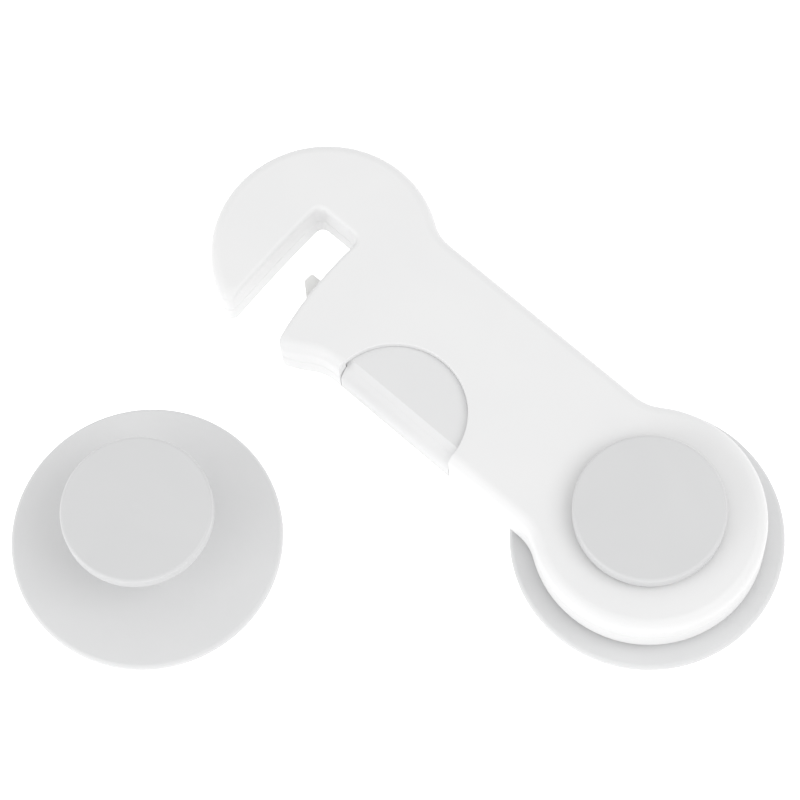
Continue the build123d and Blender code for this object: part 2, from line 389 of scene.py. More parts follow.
class Effects:
    """Node groups that more than one finish uses, each built once."""

    def __init__(self) -> None:
        """Builds every group."""
        self.grain = self._grain()
        self.drift = self._drift()
        self.rubs = self._rubs()

    @staticmethod
    def _group(
        name: str, inputs: dict[str, float], output: str
    ) -> tuple[bpy.types.NodeTree, bpy.types.NodeOutputs, bpy.types.NodeSocket]:
        """A new group with a vector input, number inputs and one number output.

        Args:
            name: The group's name.
            inputs: Each number input's name and default.
            output: The output's name.

        Returns:
            The group, what comes into it, and the socket that its result goes to.
        """
        group = bpy.data.node_groups.new(name, "ShaderNodeTree")
        sockets = group.interface
        sockets.new_socket("Vector", in_out="INPUT", socket_type="NodeSocketVector")
        for key, value in inputs.items():
            sockets.new_socket(key, in_out="INPUT", socket_type="NodeSocketFloat").default_value = value
        sockets.new_socket(output, in_out="OUTPUT", socket_type="NodeSocketFloat")
        inlet, outlet = group.nodes.new("NodeGroupInput"), group.nodes.new("NodeGroupOutput")
        return group, inlet.outputs, outlet.inputs[output]

    def _grain(self) -> bpy.types.NodeTree:
        """Spark-eroded mould grain: fine even pits over a slightly coarser roll.

        Returns:
            The group, with the grain's height from 0 to 1.
        """
        group, inlet, outlet = self._group("mould_grain", {"Scale": 3000, "Roll": 0.35}, "Height")
        place, scale = inlet["Vector"], inlet["Scale"]
        fine = add_node(group, "TexNoise", Vector=place, Scale=scale, Detail=3)
        coarser = add_sum(group, "MULTIPLY", scale, 0.3)
        coarse = add_node(group, "TexNoise", Vector=place, Scale=coarser, Detail=1)
        sides = {"A": fine.outputs["Fac"], "B": coarse.outputs["Fac"]}
        blend = add_node(group, "Mix", Factor=inlet["Roll"], **sides)
        feed(group, outlet, blend.outputs["Result"])
        return group

    def _drift(self) -> bpy.types.NodeTree:
        """Slow cloudy change across a moulding.

        Returns:
            The group, with a mask from 0 to 1 about a half.
        """
        group, inlet, outlet = self._group("tone_drift", {"Scale": 60}, "Mask")
        place, scale = inlet["Vector"], inlet["Scale"]
        cloud = add_node(group, "TexNoise", Vector=place, Scale=scale, Detail=2, Distortion=0.6)
        spread = add_node(group, "MapRange", Value=cloud.outputs["Fac"], From_Min=0.3, From_Max=0.7)
        feed(group, outlet, spread.outputs["Result"])
        return group

    def _rubs(self) -> bpy.types.NodeTree:
        """Sparse hairline rubs from handling: wavy cell borders, kept only in some patches.

        Returns:
            The group, with a mask that is Amount on a rub and 0 elsewhere.
        """
        group, inlet, outlet = self._group("handling_rubs", {"Scale": 220, "Amount": 0.5}, "Mask")
        place = inlet["Vector"]
        swirl = add_node(group, "TexNoise", Vector=place, Detail=1, Scale=90).outputs["Color"]
        warped = add_sum(group, "MULTIPLY_ADD", swirl, (0.012, 0.012, 0.012), place, kind="VectorMath")
        cells = add_node(group, "TexVoronoi", Vector=warped, Scale=inlet["Scale"])
        cells.feature = "DISTANCE_TO_EDGE"
        border = cells.outputs["Distance"]
        hair = add_node(group, "MapRange", Value=border, From_Max=0.018, To_Min=1.0, To_Max=0.0)
        patch = add_node(group, "TexNoise", Vector=place, Scale=75).outputs["Fac"]
        few = add_node(group, "MapRange", Value=patch, From_Min=0.52, From_Max=0.68)
        both = add_sum(group, "MULTIPLY", hair.outputs["Result"], few.outputs["Result"])
        feed(group, outlet, add_sum(group, "MULTIPLY", both, inlet["Amount"]))
        return group


class Mixing:
    """One new material: its shader, its object coordinates, and the shared effects at hand."""

    def __init__(self, name: str, effects: Effects) -> None:
        """Makes the material.

        Args:
            name: The material's name.
            effects: The shared node groups.
        """
        self.effects = effects
        self.material = bpy.data.materials.new(name)
        self.material.use_nodes = True
        self.tree = self.material.node_tree
        self.shader = self.tree.nodes["Principled BSDF"]
        self.where = add_node(self.tree, "TexCoord").outputs["Object"]

    def finish(self, name: str, value: Feed) -> None:
        """Feeds one of the shader's inputs.

        Args:
            name: The input's name.
            value: The value, or the output of another node.
        """
        feed(self.tree, self.shader.inputs[name], value)

    def effect(self, group: bpy.types.NodeTree, **values: float) -> bpy.types.NodeSocket:
        """Places one shared effect.

        Args:
            group: The effect's node group.
            values: The effect's own inputs.

        Returns:
            The effect's output.
        """
        node = add_node(self.tree, "Group")
        node.node_tree = group
        for key, value in {"Vector": self.where, **values}.items():
            feed(self.tree, node.inputs[key], value)
        return node.outputs[0]

    def spread(self, mask: bpy.types.NodeSocket, low: float, high: float) -> bpy.types.NodeSocket:
        """Spreads a mask between two values.

        Args:
            mask: The output that holds the mask.
            low: The value where the mask is 0.
            high: The value where it is 1.

        Returns:
            The output with the spread value.
        """
        return add_node(self.tree, "MapRange", Value=mask, To_Min=low, To_Max=high).outputs["Result"]

    def colour(self, mask: bpy.types.NodeSocket, first: Colour, second: Colour) -> None:
        """Gives the shader a mix of two colours.

        Args:
            mask: The output that holds the mask.
            first: The colour where the mask is 0.
            second: The colour where it is 1.
        """
        node = add_node(self.tree, "Mix")
        node.data_type = "RGBA"
        node.inputs["A"].default_value = (*first, 1)
        node.inputs["B"].default_value = (*second, 1)
        self.tree.links.new(mask, node.inputs["Factor"])
        self.finish("Base Color", next(s for s in node.outputs if s.type == "RGBA"))

    def bump(self, height: bpy.types.NodeSocket, share: float, depth: float) -> None:
        """Feeds a height into the shader's normal.

        Args:
            height: The output that holds the height, 0 to 1.
            share: Share of the effect that shows.
            depth: Real depth of a height of 1, in metres.
        """
        node = add_node(self.tree, "Bump", Height=height, Strength=share, Distance=depth)
        self.finish("Normal", node.outputs["Normal"])


@dataclass(frozen=True)
class Plastic:
    """Moulded plastic: a body colour with slow drift, mould grain, and faint handling rubs.

    Attributes:
        name: The material's name.
        colour: Linear body colour.
        shade: The slightly deeper colour that the drift goes to.
        rough: Roughness between rubs, lowest and highest.
        grain: How many grains there are per metre.
        grain_depth: Depth of the grain, in metres.
        grain_share: Share of the grain that shows.
        rubs: How strongly rubs show, 0 to 1.
        polish: How much smoother a full rub is.
        ior: Index of refraction.
        specular: Level of its reflection.
    """

    name: str
    colour: Colour
    shade: Colour
    rough: tuple[float, float] = (0.38, 0.46)
    grain: float = 3200
    grain_depth: float = 0.012 * MM
    grain_share: float = 0.5
    rubs: float = 0.4
    polish: float = 0.12
    ior: float = 1.5
    specular: float = 0.35

    def material(self, effects: Effects) -> bpy.types.Material:
        """Builds the material.

        Args:
            effects: The shared node groups.

        Returns:
            The finished material.
        """
        mixing = Mixing(self.name, effects)
        drift = mixing.effect(effects.drift)
        rubs = mixing.effect(effects.rubs, Amount=self.rubs)
        grain = mixing.effect(effects.grain, Scale=self.grain)
        rough = mixing.spread(drift, *self.rough)
        mixing.colour(drift, self.colour, self.shade)
        mixing.finish("Roughness", add_sum(mixing.tree, "MULTIPLY_ADD", rubs, -self.polish, rough))
        mixing.finish("IOR", self.ior)
        mixing.finish("Specular IOR Level", self.specular)
        mixing.bump(grain, self.grain_share, self.grain_depth)
        return mixing.material


@dataclass(frozen=True)
class Foam:
    """Closed-cell foam with a sticky skin.

    Attributes:
        name: The material's name.
        colour: Linear colour of the cell walls.
        deep: Share of it that is left in a cell's hollow.
        rough: Roughness from a cell's middle outwards.
        cell: How many cells there are per metre.
        cell_depth: Depth of a cell, in metres.
        cell_share: Share of the cells that shows.
    """

    name: str
    colour: Colour
    deep: float = 0.8
    rough: tuple[float, float] = (0.55, 0.9)
    cell: float = 2600
    cell_depth: float = 0.08 * MM
    cell_share: float = 0.6

    def material(self, effects: Effects) -> bpy.types.Material:
        """Builds the material.

        Args:
            effects: The shared node groups.

        Returns:
            The finished material.
        """
        mixing = Mixing(self.name, effects)
        cells = add_node(mixing.tree, "TexVoronoi", Vector=mixing.where, Scale=self.cell)
        away = cells.outputs["Distance"]
        mixing.colour(away, self.colour, tuple(self.deep * c for c in self.colour))
        mixing.finish("Roughness", mixing.spread(away, *self.rough))
        mixing.bump(away, self.cell_share, self.cell_depth)
        return mixing.material


@dataclass(frozen=True)
class Metal:
    """Plated or drawn steel, mottled between bright and dull, with a very fine grain.

    Attributes:
        name: The material's name.
        colour: Linear colour of the bright metal.
        dull: Linear colour where it is dull.
        rough: Roughness from bright to dull.
        mottle: How many bright and dull spots there are per metre.
        grain: How many grains there are per metre.
        grain_depth: Depth of the grain, in metres.
        grain_share: Share of the grain that shows.
    """

    name: str
    colour: Colour
    dull: Colour
    rough: tuple[float, float] = (0.22, 0.42)
    mottle: float = 700
    grain: float = 9000
    grain_depth: float = 0.004 * MM
    grain_share: float = 0.3

    def material(self, effects: Effects) -> bpy.types.Material:
        """Builds the material.

        Args:
            effects: The shared node groups.

        Returns:
            The finished material.
        """
        mixing = Mixing(self.name, effects)
        drift = mixing.effect(effects.drift, Scale=self.mottle)
        grain = mixing.effect(effects.grain, Scale=self.grain)
        mixing.colour(drift, self.colour, self.dull)
        mixing.finish("Roughness", mixing.spread(drift, *self.rough))
        mixing.finish("Metallic", 1.0)
        mixing.bump(grain, self.grain_share, self.grain_depth)
        return mixing.material


ARM_WHITE = Plastic("arm_bright_white", (0.80, 0.80, 0.80), (0.785, 0.786, 0.788))
BUTTON_WHITE = Plastic("button_bright_white", (0.735, 0.736, 0.738), (0.72, 0.722, 0.725), grain=3600)
DISC_WHITE = Plastic("disc_cool_white", (0.695, 0.697, 0.70), (0.68, 0.683, 0.687), rough=(0.42, 0.5))
KNOB_WHITE = Plastic("knob_cool_white", (0.645, 0.647, 0.65), (0.625, 0.628, 0.632), rough=(0.34, 0.42))
BOLT_WHITE = Plastic(
    "bolt_natural_acetal", (0.78, 0.78, 0.77), (0.76, 0.76, 0.75), rough=(0.3, 0.36), rubs=0.8
)
BEARING_WHITE = Plastic("bearing_natural_acetal", (0.70, 0.70, 0.67), (0.68, 0.68, 0.65), rough=(0.28, 0.34))
PAD_FOAM = Foam("white_adhesive_foam", (0.74, 0.74, 0.73))
ZINC = Metal("zinc_plated_steel", (0.62, 0.63, 0.66), (0.50, 0.51, 0.53))
WIRE = Metal("drawn_spring_wire", (0.50, 0.51, 0.53), (0.38, 0.38, 0.40), rough=(0.18, 0.3))


# ------------------------------------------------------------------ the arm's plan
def crossing(a: Point, ra: float, b: Point, rb: float, side: int) -> Point:
    """One of the two points at given distances from two centres.

    Args:
        a: The first centre.
        ra: Distance from it.
        b: The second centre.
        rb: Distance from it.
        side: 1 for the point to the left of the way from a to b, -1 for the right.

    Returns:
        The point.
    """
    dx, dy = b[0] - a[0], b[1] - a[1]
    span = hypot(dx, dy)
    along = (ra**2 - rb**2 + span**2) / (2 * span)
    off = side * sqrt(ra**2 - along**2)
    return a[0] + (along * dx - off * dy) / span, a[1] + (along * dy + off * dx) / span


def bearing(start: Point, end: Point) -> float:
    """Angle of the way from start to end, in radians."""
    return atan2(end[1] - start[1], end[0] - start[0])


def arc(centre: Point, radius: float, start: float, end: float, left: bool, steps: int) -> list[Point]:
    """Points of a round stretch, both ends included.

    Args:
        centre: Its centre.
        radius: Its radius.
        start: Angle from the centre at which it starts.
        end: Angle at which it ends.
        left: True to turn anticlockwise.
        steps: How many stretches it has.

    Returns:
        Its points.
    """
    sweep = (end - start) % tau if left else -((start - end) % tau)
    turns = [start + sweep * i / steps for i in range(steps + 1)]
    return [(centre[0] + radius * cos(t), centre[1] + radius * sin(t)) for t in turns]


@dataclass(frozen=True)
class ArmPlan:
    """Outline of the arm seen from above, as lines and arcs, at any depth inwards.

    The jaw slot's body wall is an arc about the pivot axis, and its hook wall is a slightly flatter arc.

    Attributes:
        pivot_r: Radius of the round end on the pivot axis.
        half: Half width of the shank.
        head_x: Centre of the round head.
        head_r: Radius of the round head.
        blend: Radius of the hollow between the shank and each round end.
        slot_r: Radius of the slot's body wall about the pivot axis.
        slot_end: Where the slot ends, along Y.
        hook_a: Point on the hook wall at the slot's inner end.
        hook_b: Point on it near its middle.
        hook_c: Point on it past the mouth.
        corner: Radius of the slot's inner corners.
        tip: Radius of the two jaw tips.
        window: Centre of the half-round window.
        window_r: Its radius.
        pivot_steps: How many stretches the pivot end has.
        head_steps: How many the round head has, up to the upper jaw.
        jaw_steps: How many the rest of the head has, behind the lower jaw.
        wall_steps: How many each wall of the slot has.
        blend_steps: How many each hollow beside the shank has.
        tip_steps: How many each jaw tip has.
        corner_steps: How many each inner corner of the slot has.
        window_steps: How many the window has.
    """

    pivot_r: float
    half: float
    head_x: float
    head_r: float
    blend: float = 7.0 * MM
    slot_r: float = 60.3 * MM
    slot_end: float = -4.3 * MM
    hook_a: Point = (68.365 * MM, -4.3 * MM)
    hook_b: Point = (68.237 * MM, 6.0 * MM)
    hook_c: Point = (67.4 * MM, 20.0 * MM)
    corner: float = 1.3 * MM
    tip: float = 1.2 * MM
    window: Point = (37.8 * MM, 12.6 * MM)
    window_r: float = 10.75 * MM
    pivot_steps: int = 56
    head_steps: int = 44
    jaw_steps: int = 4
    wall_steps: int = 12
    blend_steps: int = 8
    tip_steps: int = 9
    corner_steps: int = 7
    window_steps: int = 40

    def hook_circle(self) -> tuple[Point, float]:
        """Finds the circle that the hook wall is part of, through its three points.

        Returns:
            Its centre and radius.
        """
        (ax, ay), (bx, by), (cx, cy) = self.hook_a, self.hook_b, self.hook_c
        d = 2 * (ax * (by - cy) + bx * (cy - ay) + cx * (ay - by))
        aa, bb, cc = ax**2 + ay**2, bx**2 + by**2, cx**2 + cy**2
        x = (aa * (by - cy) + bb * (cy - ay) + cc * (ay - by)) / d
        y = (aa * (cx - bx) + bb * (ax - cx) + cc * (bx - ax)) / d
        return (x, y), hypot(ax - x, ay - y)

    def outline(
        self, outer: float, slot: float, window: float | None, tip: float | None = None
    ) -> list[Point]:
        """The outline, anticlockwise, with the same number of points at every depth.

        Args:
            outer: How far inwards the outer sides are moved.
            slot: How far the slot's walls are moved into the plastic.
            window: How far the window's wall is moved into the plastic, or None for no window.
            tip: Radius of the jaw tips, or None for the plan's own.

        Returns:
            The points.
        """
        tip = self.tip if tip is None else tip
        origin, head = (0.0, 0.0), (self.head_x, 0.0)
        pivot_r, head_r = self.pivot_r - outer, self.head_r - outer
        half, blend = self.half - outer, self.blend + outer
        slot_r, corner, end = self.slot_r - slot, self.corner + slot, self.slot_end - slot
        hook, hook_r = self.hook_circle()
        hook_r += slot
        rise = half + blend
        near = sqrt((pivot_r + blend) ** 2 - rise**2)
        far = head[0] - sqrt((head_r + blend) ** 2 - rise**2)
        lower = crossing(origin, slot_r - tip, head, head_r - tip, 1)
        upper = crossing(hook, hook_r + tip, head, head_r - tip, 1)
        left_corner = (sqrt((slot_r + corner) ** 2 - (end + corner) ** 2), end + corner)
        drop = end + corner - hook[1]
        right_corner = (hook[0] + sqrt((hook_r - corner) ** 2 - drop**2), end + corner)
        blends, tips, corners, walls = self.blend_steps, self.tip_steps, self.corner_steps, self.wall_steps
        # the pivot end, then along the back of the shank and round the head to the upper jaw
        start, end_turn = bearing(origin, (near, rise)), bearing(origin, (near, -rise))
        points = arc(origin, pivot_r, start, end_turn, True, self.pivot_steps)
        points += arc((near, -rise), blend, bearing((near, -rise), origin), pi / 2, False, blends)
        points += arc((far, -rise), blend, pi / 2, bearing((far, -rise), head), False, blends)
        start, end_turn = bearing(head, (far, -rise)), bearing(head, upper)
        points += arc(head, head_r, start, end_turn, True, self.head_steps)[1:]
        points += arc(upper, tip, bearing(head, upper), bearing(upper, hook), True, tips)[1:]
        # down the hook wall, across the slot's end and up its body wall to the lower jaw
        points += arc(hook, hook_r, bearing(hook, upper), bearing(hook, right_corner), False, walls)[1:]
        points += arc(right_corner, corner, bearing(hook, right_corner), -pi / 2, False, corners)[1:]
        points += arc(left_corner, corner, -pi / 2, bearing(left_corner, origin), False, corners)
        points += arc(origin, slot_r, bearing(origin, left_corner), bearing(origin, lower), True, walls)[1:]
        points += arc(lower, tip, bearing(origin, lower), bearing(head, lower), True, tips)[1:]
        start, end_turn = bearing(head, lower), bearing(head, (far, rise))
        points += arc(head, head_r, start, end_turn, True, self.jaw_steps)[1:]
        # back to the pivot end along the side with the window
        points += arc((far, rise), blend, bearing((far, rise), head), -pi / 2, False, blends)[1:]
        if window is not None:
            reach = self.window_r + window
            rest = half - self.window[1]
            turn = atan2(rest, sqrt(reach**2 - rest**2))
            points += arc(self.window, reach, turn, pi - turn, False, self.window_steps)
        points += arc((near, rise), blend, -pi / 2, bearing((near, rise), origin), False, blends)[:-1]
        return points


def depth_of_round(z: float, flat: float, edge: float) -> float:
    """How far in a rounded edge has gone at a height near its flat.

    Args:
        z: The height.
        flat: Height of the flat.
        edge: Radius of the rounding.

    Returns:
        The inward distance, 0 below the rounding and edge at the flat.
    """
    rise = edge - abs(flat - z)
    return 0.0 if rise <= 0 else edge - sqrt(max(edge**2 - rise**2, 0.0))


# ------------------------------------------------------------------ springs, pegs and screws
def lay(piece: bpy.types.Object, axis: Vector, start: Vector) -> None:
    """Turns a piece made along +Z to lie along an axis, and puts its foot at a point.

    Args:
        piece: The object, at the origin.
        axis: Where its +Z is to point.
        start: Where its foot is to be.
    """
    turn = axis.to_track_quat("Z", "Y").to_matrix().to_4x4()
    piece.data.transform(Matrix.Translation(start) @ turn)


def spring_peg(axis: Vector, foot: Vector, profile: Sequence[Point]) -> bpy.types.Object:
    """A small round peg that keeps a spring's end on its seat.

    Args:
        axis: Which way it points.
        foot: Where its foot is.
        profile: Radius and height of each ring.

    Returns:
        The new object, to be joined to its seat.
    """
    peg = turned("peg", (0, 0), profile, steps=24)
    lay(peg, axis, foot)
    return peg


@dataclass(frozen=True)
class Coil:
    """A compression spring, screwed out of a small circle of wire.

    Attributes:
        wire: Radius of the wire.
        turns: How many turns it has.
        steps: How many stretches each turn has.
        sides: How many sides the wire has.
        smooth: Edges sharper than this, in degrees, stay sharp.
    """

    wire: float = 0.2 * MM
    turns: int = 6
    steps: int = 28
    sides: int = 10
    smooth: float = 50

    def build(self, radius: float, length: float) -> bpy.types.Object:
        """Makes the spring along +Z from the origin, with its wire's ends closed.

        Args:
            radius: Its outside radius.
            length: Its length.

        Returns:
            The pattern that the springs are copied from.
        """
        middle = (radius - self.wire, 0, self.wire)
        bpy.ops.object.select_all(action="DESELECT")
        bpy.ops.mesh.primitive_circle_add(
            vertices=self.sides, radius=self.wire, location=middle, rotation=(pi / 2, 0, 0)
        )
        spring = bpy.context.active_object
        spring.name = "spring"
        bpy.ops.object.transform_apply(location=True, rotation=True, scale=True)
        apply_modifier(
            spring, "SCREW", axis="Z", angle=tau, screw_offset=(length - 2 * self.wire) / self.turns,
            iterations=self.turns, steps=self.steps, render_steps=self.steps, use_merge_vertices=False,
        )
        bpy.ops.object.mode_set(mode="EDIT")
        bpy.ops.mesh.select_all(action="DESELECT")
        bpy.ops.mesh.select_mode(type="EDGE")
        bpy.ops.mesh.select_non_manifold()
        bpy.ops.mesh.edge_face_add()
        bpy.ops.mesh.select_mode(type="VERT")
        bpy.ops.mesh.select_all(action="SELECT")
        bpy.ops.mesh.normals_make_consistent(inside=False)
        bpy.ops.object.mode_set(mode="OBJECT")
        bpy.ops.object.shade_smooth_by_angle(angle=radians(self.smooth))
        return spring


@dataclass(frozen=True)
class CaseScrew:
    """A pan-head screw with a cross recess and a cut thread, driven from below.

    Attributes:
        low: Height of the head's face.
        high: Height of the point.
        seat: Height of the face that the head sits on.
        head: Radius of the head.
        head_edge: Radius of its rounded edge.
        core: Radius of the thread's root.
        crest: Radius of the thread's crest.
        pitch: Distance between crests.
        flank: Half height of a crest's foot.
        point: Radius of the point, and the length of its taper.
        cross: Half length and half width of the recess's two arms.
        cross_depth: Depth of the recess.
    """

    low: float
    high: float
    seat: float
    head: float = 1.9 * MM
    head_edge: float = 0.4 * MM
    core: float = 0.78 * MM
    crest: float = 1.0 * MM
    pitch: float = 0.7 * MM
    flank: float = 0.14 * MM
    point: Point = (0.195 * MM, 0.35 * MM)
    cross: Point = (0.95 * MM, 0.2 * MM)
    cross_depth: float = 0.6 * MM

    def build(self) -> bpy.types.Object:
        """Turns the screw on the origin's upright axis and cuts its recess.

        Returns:
            The pattern that the four screws are copied from.
        """
        profile = quarter(self.head, self.low, self.head_edge, steps=5, up=False)[::-1]
        profile += [(self.head, self.seat), (self.core, self.seat)]
        crest = self.seat + self.pitch
        while crest < self.high - self.pitch:
            thread = ((self.core, -self.flank), (self.crest, 0.0), (self.core, self.flank))
            profile += [(radius, crest + rise) for radius, rise in thread]
            crest += self.pitch
        tip, taper = self.point
        profile += [(self.core, self.high - taper), (tip, self.high)]
        screw = turned("case_screw", (0, 0), profile, steps=40)
        for x, y in (self.cross, self.cross[::-1]):
            end = (x, y, self.low + self.cross_depth)
            shape(screw, Work.CUT, box_blank("recess", (-x, -y, self.low - MM), end))
        settle(screw, angle=40)
        return screw


# ------------------------------------------------------------------ sub-assemblies
@dataclass
class Arm:
    """The arm's two covers, their screws and the springs inside.

    Attributes:
        finish: The plastic of the covers.
        steel: The metal of the case screws.
        wire: The metal of the springs.
        half: Half width of the shank.
        outer_edge: Radius of the long rounded upper edge.
        under_edge: Radius of the lower edge.
        slot_edge: Radius of the slot's upper edge.
        window_edge: Radius of the window's upper edge.
        edge_steps: How many stretches a rounded edge has.
        parting: Depth of the small chamfer on each side of the parting line.
        wall: Thickness of the side walls.
        inner_tip: Radius of the jaw tips inside the walls.
        skin: Thickness of the top skin.
        floor: Thickness of the floor.
        bite: How far ribs and posts run into the skin, the floor or a wall.
        play: Gap round each piece that slides.
        bore: Radius of the hole for the pivot bush.
        collar: Radius of the post round it.
        boss: Radius of the post round each case screw.
        screw_bore: Radius of the screw's hole in its upper post.
        screw_room: Length of that hole past the screw's point.
        screw_hole: Radius of the hole for the screw's head.
        screw_seat: Height of the face that the head sits on.
        screw_reach: More than a screw's width, and less than the way to the next screw.
        sill: Height of the button's opening above the table.
        rib: Thickness of the guide ribs and the bolt's rails.
        guide_back: Where the button's guide ribs end inside the arm, along Y.
        plate: Thickness of the button's plate between its guide ribs.
        bolt_side: Where the bolt's straight side runs, along Y.
        presser: Where the pad over the bolt starts and ends, along X.
        rails: Where the bolt's rails start and end, along X.
        seat: Thickness of each spring's seat.
        seat_half: Half width of each seat.
        peg: Profile of the peg on each seat.
        port_depth: Depth of the tooth's opening behind the slot's wall.
        plan: The arm's outline, sized from the CAD nodes.
    """

    finish: bpy.types.Material
    steel: bpy.types.Material
    wire: bpy.types.Material
    half: float = 12.8 * MM
    outer_edge: float = 1.7 * MM
    under_edge: float = 0.8 * MM
    slot_edge: float = 0.8 * MM
    window_edge: float = 0.2 * MM
    edge_steps: int = 9
    parting: float = 0.1 * MM
    wall: float = 1.4 * MM
    inner_tip: float = 0.3 * MM
    skin: float = 1.0 * MM
    floor: float = 1.2 * MM
    bite: float = 0.4 * MM
    play: float = 0.1 * MM
    bore: float = 5.08 * MM
    collar: float = 7.6 * MM
    boss: float = 2.6 * MM
    screw_bore: float = 1.03 * MM
    screw_room: float = 0.3 * MM
    screw_hole: float = 2.1 * MM
    screw_seat: float = 4.45 * MM
    screw_reach: float = 4.2 * MM
    sill: float = 4.6 * MM
    rib: float = 1.0 * MM
    guide_back: float = -2.0 * MM
    plate: float = 2.2 * MM
    bolt_side: float = 3.4 * MM
    presser: tuple[float, float] = (52 * MM, 56 * MM)
    rails: tuple[float, float] = (50 * MM, 58.5 * MM)
    seat: float = 1.3 * MM
    seat_half: float = 2.0 * MM
    peg: tuple[Point, ...] = ((0.8 * MM, -0.5 * MM), (0.8 * MM, 1.4 * MM), (0.6 * MM, 1.6 * MM))
    port_depth: float = 4.0 * MM
    plan: ArmPlan = field(init=False)

    def __post_init__(self) -> None:
        """Reads the arm's overall sizes from the CAD nodes."""
        low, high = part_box("arm_top_shell")
        self.top, self.split = high.z, low.z
        self.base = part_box("arm_bottom_shell")[0].z
        self.plan = ArmPlan(pivot_r=-low.x, half=self.half, head_x=high.x - high.y, head_r=high.y)

    def ring(self, z: float, flat: float, edge: float, window: bool) -> Ring:
        """One level ring of a cover's outside.

        Args:
            z: The ring's height.
            flat: Height of the cover's flat face.
            edge: Radius of its long rounded edge.
            window: True where the window cuts the outline.

        Returns:
            The ring's points.
        """
        chamfer = max(self.parting - abs(z - self.split), 0.0)
        outer = depth_of_round(z, flat, edge) + chamfer
        slot = depth_of_round(z, flat, self.slot_edge) + chamfer
        hole = depth_of_round(z, flat, self.window_edge) if window else None
        return [(x, y, z) for x, y in self.plan.outline(outer, slot, hole)]

    def levels(self, flat: float, edge: float) -> list[float]:
        """Heights of a cover's rings, from the parting line to its flat face.

        Args:
            flat: Height of the flat face.
            edge: Radius of the long rounded edge.

        Returns:
            The heights, closest together near the flat.
        """
        side = 1 if flat > self.split else -1
        turns = [pi / 2 * i / self.edge_steps for i in range(self.edge_steps + 1)]
        chamfer = [self.split, self.split + side * self.parting]
        return chamfer + [flat - side * edge * (1 - sin(t)) for t in turns]

    def hollow(self, low: float, high: float) -> bpy.types.Object:
        """The space inside a cover, as a blank to cut with.

        Args:
            low: Where it starts.
            high: Where it ends.

        Returns:
            The blank.
        """
        outline = self.plan.outline(self.wall, self.wall, None, self.inner_tip)
        return loft("hollow", [[(x, y, z) for x, y in outline] for z in (low, high)])

    def pillar(self, centre: Point, radius: float, low: float, high: float) -> bpy.types.Object:
        """An upright round blank, for a boss, collar, bore or hole.

        Args:
            centre: Its axis, x and y.
            radius: Its radius.
            low: Where it starts.
            high: Where it ends.

        Returns:
            The blank.
        """
        return turned("pillar", centre, [(radius, low), (radius, high)], steps=48)

    def posts(self, low: float, high: float) -> list[bpy.types.Object]:
        """The collar round the pivot and the boss round each case screw.

        Args:
            low: Where they start.
            high: Where they end.

        Returns:
            Blanks to join to a cover.
        """
        collar = self.pillar((0, 0), self.collar, low, high)
        return [collar, *(self.pillar(place, self.boss, low, high) for place in self.screw_places())]

    def screw_places(self) -> list[Point]:
        """Finds where the four case screws stand, from the loose parts of their CAD node.

        Returns:
            Each screw's axis, x and y.
        """
        left = [v.co.copy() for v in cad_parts["arm_screws"].data.vertices]
        places = []
        while left:
            near = [v for v in left if (v.xy - left[0].xy).length < self.screw_reach]
            low = Vector((min(v.x for v in near), min(v.y for v in near)))
            high = Vector((max(v.x for v in near), max(v.y for v in near)))
            places.append(tuple((low + high) / 2))
            left = [v for v in left if (v.xy - left[0].xy).length >= self.screw_reach]
        return places

    def upper_cover(self) -> bpy.types.Object:
        """The top cover: crowned edges, the half-round window, walls, bosses and ribs.

        Returns:
            The new object.
        """
        levels = self.levels(self.top, self.outer_edge)
        cover = loft("arm_upper_cover", [self.ring(z, self.top, self.outer_edge, True) for z in levels])
        roof, below = self.top - self.skin, self.split - MM
        shape(cover, Work.CUT, self.hollow(below, roof))
        shape(cover, Work.JOIN, *self.posts(self.split, roof + self.bite), *self.upper_ribs(roof))
        shape(cover, Work.CUT, self.pillar((0, 0), self.bore, below, self.top + MM))
        screws_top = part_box("arm_screws")[1].z + self.screw_room
        for place in self.screw_places():
            shape(cover, Work.CUT, self.pillar(place, self.screw_bore, below, screws_top))
        return cover

    def upper_ribs(self, roof: float) -> list[bpy.types.Object]:
        """The ribs that guide the button's plate and the pad that keeps the bolt down.

        Args:
            roof: Height of the top skin's underside.

        Returns:
            Blanks to join to the upper cover.
        """
        low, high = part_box("release_button")
        bolt_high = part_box("latch_bolt")[1]
        front, under, lid = self.half - self.wall + self.bite, high.z - self.plate, roof + self.bite
        ribs = [
            box_blank("rib", (x, self.guide_back, under), (x + self.rib, front, lid))
            for x in (low.x - self.play - self.rib, high.x + self.play)
        ]
        start = (self.presser[0], self.bolt_side, bolt_high.z + self.play)
        return [*ribs, box_blank("presser", start, (self.presser[1], bolt_high.y, lid))]

    def lower_cover(self) -> bpy.types.Object:
        """The bottom cover: floor, walls, ribs, the button's side opening and the screw holes.

        Returns:
            The new object.
        """
        levels = self.levels(self.base, self.under_edge)
        cover = loft("arm_lower_cover", [self.ring(z, self.base, self.under_edge, False) for z in levels])
        ground, below, above = self.base + self.floor, self.base - MM, self.split + MM
        shape(cover, Work.CUT, self.hollow(ground, above))
        shape(cover, Work.JOIN, *self.posts(ground - self.bite, self.split), *self.lower_ribs(ground))
        x, y = self.plan.window
        reach = self.plan.window_r
        side = box_blank("side", (x - reach, y - 2 * self.wall, self.sill), (x + reach, y + MM, above))
        shape(cover, Work.CUT, side, self.pillar((0, 0), self.bore, below, above))
        for place in self.screw_places():
            shape(cover, Work.CUT, self.pillar(place, self.screw_hole, below, self.screw_seat))
        return cover

